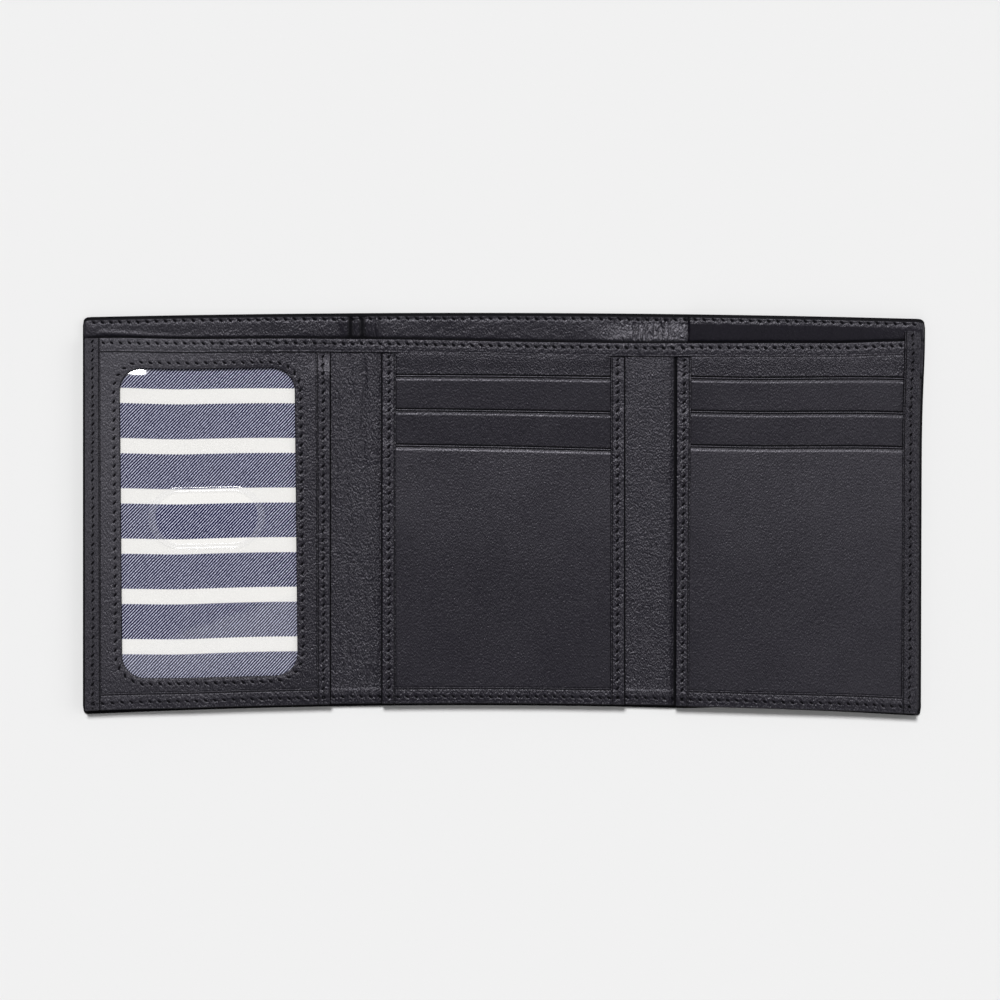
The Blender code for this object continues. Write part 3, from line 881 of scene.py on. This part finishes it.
def hem_base(x):
    """Height of the surface that the hem lies on: the window frame, then the inner leather."""
    return FRAME_TOP + 0.04 - 1.32 * smooth((x + 54) / 9)


def hem_top(x, y):
    sway = 0.025 * ripple(x, y, 41, 40, 20) + 0.012 * ripple(x, y, 42, 3.5, 2.2)
    rounding = 0.08 * bell(y - 45.4, 1.6)
    crease = -0.05 * bell(y - 44.15, 0.16)
    form = sway + rounding + crease + 0.06 * fold_wrinkles(x, y) + HEM_SEAM.relief(x, y)
    return hem_base(x) + 0.34 + form


def hem_bottom(x, y):
    return np.where(x > -47.3, PANEL_TOP + 0.02, hem_base(x) - 0.02) + 0 * y


def dark_seam(*seams):
    """The shade function of some rows of stitches."""
    def shade(x, y):
        deepest = np.minimum.reduce([seam.relief(x, y) for seam in seams])
        middles = np.maximum.reduce([seam.middles(x, y) for seam in seams])
        return seam_shade(deepest, middles)
    return shade


def make_layers():
    """Outer leather, facing, linings, inner leather and hem, each cut into the four sections."""
    for order, section in enumerate(SECTIONS):
        name = section["name"]
        low, high = CUTS[order], CUTS[order + 1]
        ends = ("l" if low == CUTS[0] else "") + ("r" if high == CUTS[-1] else "")
        sides = ends + "bt"
        corners = [end + edge for end in ends for edge in "tb"]
        nodes = {
            "left": ["left"], "centre": ["left_spine", "centre"],
            "right_spine": ["right_spine"], "right": ["right"],
        }[name]

        def named(layer):
            return [f"{prefix}_{layer}" for prefix in nodes]

        bending = np.arange(*section["zone"], 1.5)
        xs = samples(low, high, 1.1, 0.35, (-OUTER_SEAM_X, OUTER_SEAM_X, *bending), 1.2)
        ys = samples(-HALF_HEIGHT, HALF_HEIGHT, 2.4, 0.3, (TOP_SEAM_Y, BOTTOM_SEAM_Y), 1.4)
        shell = slab(
            name + "_outer_leather", xs, ys, lambda x, y: SHELL_TOP + 0 * x, shell_bottom, LEATHER["shell"],
            sides, corners, edge=0.55, share=(0.5, 0.42), shade=shell_shade,
        )
        mount(shell, section, "shell_leather", *named("shell"))

        xs = samples(max(low, -HALF_WIDTH + 0.35), min(high, HALF_WIDTH - 0.35), 0.21)
        ys = np.concatenate((
            samples(37.9, 44.8, 1.5, ends=False), samples(45.0, 53.6, 0.26, 0.12, (TOP_SEAM_Y,), 1.3),
        ))
        facing = slab(
            name + "_facing_leather", xs, ys, facing_top, FACING_LOW, LEATHER["facing"],
            sides, [end + "t" for end in ends], edge=0.95, share=(0.8, 0.1), shade=facing_shade,
        )
        mount(facing, section, "inner_leather", *named("facing"))

        for layer, label in (("bill_lining", "compartment_lining"), ("inner_lining", "panel_lining")):
            bottom, top = box("centre_" + layer)
            xs = samples(max(low, -HALF_WIDTH + 1.3), min(high, HALF_WIDTH - 1.3), 1.4, ends=False)
            ys = samples(bottom[1], top[1], 3.0, ends=False)
            lining = slab(
                f"{name}_{label}", xs, ys, lambda x, y, z=top[2] - 0.03: z + 0.03 * ripple(x, y, 51, 30, 22),
                bottom[2] - 0.03, LINING, sides, edge=0.2,
            )
            mount(lining, section, "lining_fabric", *named(layer))

        spines = [*np.arange(-48, -33, 0.8), *np.arange(33, 48, 0.8)]
        xs = samples(max(low, -48.6), min(high, HALF_WIDTH - 0.9), 0.8, 0.19, spines, 0.8)
        coarse = 0.45 if order < 2 else 0.9
        ys = np.concatenate((
            samples(INNER_LOW_Y, -48.0, 0.3, 0.16, (BOTTOM_SEAM_Y,), 1.0),
            samples(-47.5, PANEL_TOP_Y - 0.1, coarse, 0.10, (36.9,), 0.7),
        ))
        panel = slab(
            name + "_inner_leather", xs, ys, carrier_top, PANEL_LOW, LEATHER["carrier"],
            sides.replace("l", ""), [corner for corner in corners if corner[0] == "r"],
            edge=0.35, share=(0.55, 0.2), shade=carrier_shade,
        )
        panel_nodes = [n for n in named("inner_panel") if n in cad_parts]
        mount(panel, section, "inner_leather", *panel_nodes)

        xs = samples(max(low, -109.0), min(high, 109.0), 0.19)
        ys = samples(HEM_LOW_Y, PANEL_TOP_Y, 0.25, 0.12, (HEM_SEAM_Y,), 1.0)
        hem = slab(
            name + "_hem", xs, ys, hem_top, hem_bottom, LEATHER["inner"], "bt", edge=0.32,
            share=(0.72, 0.1), shade=dark_seam(HEM_SEAM),
        )
        mount(hem, section, "inner_leather")

        for label, seam, surface, layer in (
            ("top", TOP_SEAM, facing_top, "shell_seam"), ("hem", HEM_SEAM, hem_top, "hem_seam"),
        ):
            thread = thread_row(f"{name}_{label}_thread", seam.stitches(low, high), surface)
            mount(thread, section, "thread", *named(layer))
        sewn = [TOP_SEAM, BOTTOM_SEAM]
        sewn += [Seam("y", BOTTOM_SEAM_Y, TOP_SEAM_Y, x) for x in (-OUTER_SEAM_X, OUTER_SEAM_X)]
        stitches = [stitch for seam in sewn for stitch in seam.stitches(low, high)]
        thread = thread_row(name + "_outside_thread", stitches, lambda x, y: 0.155, under=True)
        mount(thread, section, "thread")


# ---- panels


def strip_top(height, seams, steps, press):
    """A narrow turned strip: nearly flat, rough from its stitches, stepped where pockets lie beneath."""
    def top(x, y):
        total = height + 0.02 * ripple(x, y, 61, 25, 14) + 0.014 * ripple(x, y, 62, 1.9, 1.6)
        total = total - 0.15 * smooth((BOTTOM_SEAM_Y + 0.6 - y) / 2.0) - press(x, y)
        for place in steps:
            total = total - 0.13 * (1 - smooth((place + 0.5 - y) / 2.0))
        return total + sum(seam.relief(x, y) for seam in seams)
    return top


def strip(name, body, low, high, top, seams, node, crease):
    """One strip with its rows of stitches, the first along it, and with a long crease."""
    upright = seams[0].along == "y"
    across = 0 if upright else 1
    wide = samples(low[across], high[across], 0.22, 0.11, (seams[0].place,), 0.9)
    long = samples(low[1 - across], high[1 - across], 0.19)
    xs, ys = (wide, long) if upright else (long, wide)

    def creased(x, y):
        return top(x, y) - 0.09 * bell((x, y)[across] - crease, 0.16)

    def shade(x, y):
        # Painted shade in the stitch holes and in the long crease.
        return dark_seam(*seams)(x, y) - 0.75 * bell((x, y)[across] - crease, 0.17)

    made = slab(
        name, xs, ys, creased, under_strip, LEATHER["rim" if "outer" in name else "inner"],
        "lrbt" if upright else "bt", edge=0.24, share=(0.3, 0.02), shade=shade,
    )
    fixed(made, body, "inner_leather", node)


def make_strips(panel, left_name, right_name, height, steps=()):
    """The strips down both sides and along the bottom of a panel, and their stitches."""
    body = panel + "_panel"
    crown = height - 0.07
    left_low, left_high = box(f"{panel}_strip_{left_name}")
    right_low, right_high = box(f"{panel}_strip_{right_name}")
    bottom_low, bottom_high = box(f"{panel}_strip_bottom")
    left_seam = SIDES[f"{panel}_{left_name}"]
    right_seam = SIDES[f"{panel}_{right_name}"]
    press = window_corner if panel == "left" else far_corner
    if panel == "right":
        right_high[1] = RIGHT_STRIP_TOP
    surface = strip_top(crown, (left_seam, right_seam, BOTTOM_SEAM), steps, press)
    inset = 0.4 if panel == "left" else 0.5
    for label, low, high, seams, crease in (
        (left_name, left_low, left_high, (left_seam, BOTTOM_SEAM), left_high[0] - inset),
        (right_name, right_low, right_high, (right_seam, BOTTOM_SEAM), right_low[0] + 0.5),
        ("bottom", (left_high[0] - 0.05, bottom_low[1]), (right_low[0] + 0.05, bottom_high[1]),
         (BOTTOM_SEAM,), bottom_high[1] - 0.6),
    ):
        strip(f"{panel}_{label}_strip", body, low, high, surface, seams, f"{panel}_strip_{label}", crease)

    rows = [*left_seam.stitches(), *right_seam.stitches()]
    rows += BOTTOM_SEAM.stitches(left_seam.place, right_seam.place)
    thread = thread_row(panel + "_panel_thread", rows, surface)
    fixed(thread, body, "thread", panel + "_panel_seam")


def slot_tops(panel):
    return [box(f"{panel}_slot_{level}")[1][1] for level in ("upper", "middle", "lower")]


# How far below a pocket's edge its rows of points lie.
NEAR_POCKET_EDGE = (
    2.1, 1.8, 1.6, 1.45, 1.32, 1.2, 1.1, 1.0, 0.9, 0.8, 0.7, 0.62, 0.56, 0.5, 0.44, 0.38, 0.31, 0.24, 0.18,
    0.12, 0.07, 0.03, 0.0,
)


def make_pockets(panel):
    """Three card pockets, each with its turned top edge, the lowest in front."""
    tops = slot_tops(panel)
    for order, level in enumerate(("upper", "middle", "lower")):
        low, high = box(f"{panel}_slot_{level}")
        top_y = high[1]
        xs = samples(low[0] + 1.4, high[0] - 1.4, 0.8, ends=False)
        bottom_y = low[1] if level == "lower" else top_y - 12.5
        below = samples(bottom_y, top_y - 2.4, 0.9, 0.10, [spot - 0.2 for spot in tops], 1.0, ends=False)
        ys = np.concatenate((below, top_y - np.array(NEAR_POCKET_EDGE)))

        def surface(x, y, top_y=top_y, order=order, level_z=high[2]):
            t = top_y - y
            wave = 0.02 * ripple(x, 0 * y, 71 + order, 17, 30) * smooth(1 - t / 8)
            bead = -0.08 * (1 - smooth((t - 0.95) / 0.65)) - 0.09 * bell(t - 0.50, 0.15)
            if order < 2:
                form = -0.044 * np.clip(t - 0.5, 0, 9.0)
            else:
                form = 0.06 * smooth(t / 24) - 0.62 * smooth((t - 20) / 56)
            belly = 0.02 * ripple(x, y, 75 + order, 38, 30)
            return level_z - 0.02 + wave + bead + form + belly

        def shade(x, y, top_y=top_y, order=order):
            # Painted highlight just under the turned edge, painted shade in the crease below it, and above
            # the next pocket's edge a painted shadow line.
            t = top_y - y
            value = 0.2 * bell(t - 0.24, 0.12) - 1.2 * bell(t - 0.54, 0.18)
            if order < 2:
                edge = tops[order + 1] - pocket_drop(panel, order + 1, x) + pocket_drop(panel, order, x)
                value = value - 1.1 * bell(y - edge - 0.16, 0.27)
            return value

        made = slab(
            f"{panel}_{level}_pocket", xs, ys, surface,
            lambda x, y: np.minimum(low[2] - LAP, surface(x, y) - 0.15), LEATHER["pocket"], "t",
            edge=0.26, share=(0.55, 0.25), shade=shade,
        )
        places = np.zeros(len(made.data.vertices) * 3)
        made.data.vertices.foreach_get("co", places)
        places = places.reshape(-1, 3)
        places[:, 1] -= MM * pocket_drop(panel, order, places[:, 0] / MM)
        made.data.vertices.foreach_set("co", places.ravel())
        fixed(made, panel + "_panel", "pocket_leather", f"{panel}_slot_{level}")


# ---- identity window


def window_places():
    """The window's outline, its seam, how far along the seam each point is, and the stitch length."""
    inner = outline_points(WINDOW_CENTRE, WINDOW_HALF, WINDOW_RADIUS, 0.155)
    along_seam = inner[0] + inner[1] * SEAM_FROM_WINDOW
    gaps = np.linalg.norm(np.roll(along_seam, -1, axis=0) - along_seam, axis=1)
    places = np.concatenate(((0.0,), np.cumsum(gaps)[:-1]))
    total = gaps.sum()
    return inner, along_seam, places, total / round(total / PITCH)


def make_window():
    """The leather frame sewn round the film, the striped cloth behind, the film and its thumb slot."""
    inner, along_seam, places, pitch = window_places()
    low, high = box("id_window_frame")
    near = (0, 0.03, 0.08, 0.14, 0.22, 0.32, 0.45, 0.6, 0.78, 0.95, *np.linspace(1.1, 2.06, 9),
            2.2, 2.4, 2.65, 3.0, 3.5, 4.2, 5.0)
    beyond = (0.2, 0.4, 0.6, 0.75, 0.87, 0.94, 0.98, 1.0)

    def relief(steps):
        s = places[:, None] + 0 * steps
        return stitch_relief(s, steps - SEAM_FROM_WINDOW, pitch, 1)

    def top(x, y, steps):
        crease = -0.05 * bell(x + 107.9, 0.25) * smooth((43 - y) / 2)
        crease = crease - 0.05 * bell(x + 52.2, 0.3)
        sway = 0.025 * ripple(x, y, 81, 30, 26) - 0.14 * smooth((-44 - y) / 6.5)
        fall = -0.09 * smooth((1.5 - steps) / 1.5) + 0.03 * bell(steps - SEAM_FROM_WINDOW, 0.32)
        return FRAME_TOP - 0.05 + sway + crease + fall + relief(steps) - window_corner(x, y)

    def bottom(x, y, steps):
        outer = np.where(x > -49.2, PANEL_TOP + LAP, 2.16)
        return outer + (FRAME_LOW - LAP - outer) * (1 - smooth(steps - 3.2))

    def shade(x, y, steps):
        hollow = stitch_hollow(places[:, None] + 0 * steps, steps - SEAM_FROM_WINDOW, pitch)
        return seam_shade(relief(steps), 0.4 * hollow)

    made = ring_slab(
        "window_frame", inner, near, beyond, ray_to_box(low[:2], high[:2], CORNER, ("lt", "lb")),
        top, bottom, LEATHER["inner"], edge=0.22, share=(0.4, 0.2), shade=shade,
    )
    fixed(made, "left_panel", "inner_leather", "id_window_frame")

    stitches = []
    for number in range(round(places[-1] / pitch)):
        index = int(np.argmin(np.abs(places - (number + 0.5) * pitch)))
        normal = inner[1][index]
        stitches.append((tuple(along_seam[index]), (-normal[1], normal[0]), number, pitch))
    thread = thread_row("window_thread", stitches, lambda x, y: FRAME_TOP - 0.13)
    fixed(thread, "left_panel", "thread", "id_window_seam")

    back_low, back_high = box("id_backing")
    xs = samples(back_low[0], -FLAP_SEAM_X, 0.8, ends=False)
    ys = samples(back_low[1], back_high[1], 0.8, ends=False)

    def cloth_top(x, y):
        """Stretched over a soft backing, so it stands a little higher inside the window."""
        outside = np.maximum(np.abs(x - WINDOW_CENTRE[0]) - WINDOW_HALF[0],
                             np.abs(y - WINDOW_CENTRE[1]) - WINDOW_HALF[1])
        return back_high[2] - 0.03 + 0.58 * (1 - smooth(outside / 3.0)) + 0.03 * ripple(x, y, 85, 20, 24)

    cloth = slab(
        "striped_cloth", xs, ys, cloth_top, lambda x, y: cloth_top(x, y) - 0.22, TWILL, "lrbt", edge=0.15,
    )
    fixed(cloth, "left_panel", "striped_twill", "id_backing")

    film_low, film_high = box("id_film")
    rim_half = SLOT_HALF + (1.9, 1.4)
    hole = outline_points(SLOT_CENTRE, rim_half - 0.12, rim_half[1] - 0.15, 0.5)
    all_corners = ("lt", "lb", "rt", "rb")

    def film_top(x, y, steps):
        rise = 0.205 * np.clip(39.4 - y, 0, 2.6) * (1 - smooth((36.8 - y) / 9))
        lift = rise * (1 - smooth((x + 96.6) / 4.0))
        return film_high[2] - 0.05 + 0.04 * ripple(x, y, 88, 34, 40) + lift

    film = ring_slab(
        "window_film", hole, (0, 0.05, 0.2, 0.6, 1.2, 2.0), tuple(np.linspace(0.03, 1, 45)),
        ray_to_box(film_low[:2], film_high[:2], 6.0, all_corners), film_top,
        lambda x, y, steps: film_top(x, y, steps) - 0.14, FILM, edge=0.06,
    )
    fixed(film, "left_panel", "clear_film", "id_film")

    def rim_top(x, y, steps):
        past = np.maximum(np.abs(x - SLOT_CENTRE[0]) - SLOT_HALF[0] + SLOT_HALF[1], 0)
        far = np.hypot(past, y - SLOT_CENTRE[1]) - SLOT_HALF[1]
        ridges = 0.07 * bell(steps - 0.22, 0.2) + 0.05 * bell(far - 1.2, 0.16)
        return film_top(x, y, steps) + 0.05 + ridges

    rim = ring_slab(
        "thumb_slot_rim", outline_points(SLOT_CENTRE, SLOT_HALF, SLOT_HALF[1] - 0.01, 0.25),
        (0, 0.05, 0.12, 0.22, 0.35, 0.5, 0.7), (0.12, 0.25, 0.4, 0.5, 0.6, 0.7, 0.8, 0.9, 0.96, 1.0),
        ray_to_box(SLOT_CENTRE - rim_half, SLOT_CENTRE + rim_half, rim_half[1] - 0.01, all_corners),
        rim_top, lambda x, y, steps: film_top(x, y, steps) + 0.01, FROSTED, edge=0.25,
    )
    fixed(rim, "left_panel", "clear_film")


# ---- stage


def soft_light(name, way, spread, strength):
    """A far, wide studio lamp that shines from the direction way over an angle of spread degrees."""
    data = bpy.data.lights.new(name, "SUN")
    data.angle = math.radians(spread)
    data.energy = strength
    lamp = into_scene(name, data)
    lamp.location = [2 * part for part in way]
    lamp.rotation_mode = "QUATERNION"
    lamp.rotation_quaternion = Vector([-part for part in way]).to_track_quat("-Z", "Y")


FLOOR_TONE = 0.7635
FLOOR_REACH = 3.0
CAMERA_HEIGHT = 1.0
VIEW_WIDTH = 271.4
SENSOR = 36.0
LOOK_AT = (-1.1, 3.9)


def make_stage():
    mesh = bpy.data.meshes.new("floor")
    corners = [(x * FLOOR_REACH, y * FLOOR_REACH, 0) for x, y in ((-1, -1), (1, -1), (1, 1), (-1, 1))]
    mesh.from_pydata(corners, [], [(0, 1, 2, 3)])
    paint = Shader("studio_floor")
    mesh.materials.append(paint.finish(paint.add("BsdfPrincipled", {
        "Base Color": (FLOOR_TONE, FLOOR_TONE, FLOOR_TONE, 1), "Roughness": 0.9, "Specular IOR Level": 0.1,
    })))
    floor = into_scene("floor", mesh)
    floor.location.z = -0.0001

    soft_light("key_light", (-0.08, 0.455, 0.885), 15, 3.05)
    soft_light("front_light", (0.0, -0.87, 0.50), 60, 0.30)
    soft_light("fill_light", (0.80, 0.10, 0.59), 40, 0.50)

    world = bpy.data.worlds.new("studio")
    bpy.context.scene.world = world
    world.use_nodes = True
    sky = world.node_tree.nodes["Background"].inputs
    sky["Color"].default_value = (1, 1, 1, 1)
    sky["Strength"].default_value = 0.15

    data = bpy.data.cameras.new("camera")
    data.sensor_width = SENSOR
    data.lens = SENSOR * CAMERA_HEIGHT / (VIEW_WIDTH * MM)
    data.clip_start, data.clip_end = 0.01, 20
    camera = into_scene("camera", data)
    camera.location = (LOOK_AT[0] * MM, LOOK_AT[1] * MM, CAMERA_HEIGHT)
    bpy.context.scene.camera = camera
    bpy.context.scene.view_settings.view_transform = "Standard"


make_stage()
make_layers()
make_strips("left", "outer", "inner", LEFT_STRIP_TOP)
make_strips("centre", "left", "right", STRIP_TOP, slot_tops("centre"))
make_strips("right", "inner", "outer", STRIP_TOP, slot_tops("right"))
make_pockets("centre")
make_pockets("right")
make_window()
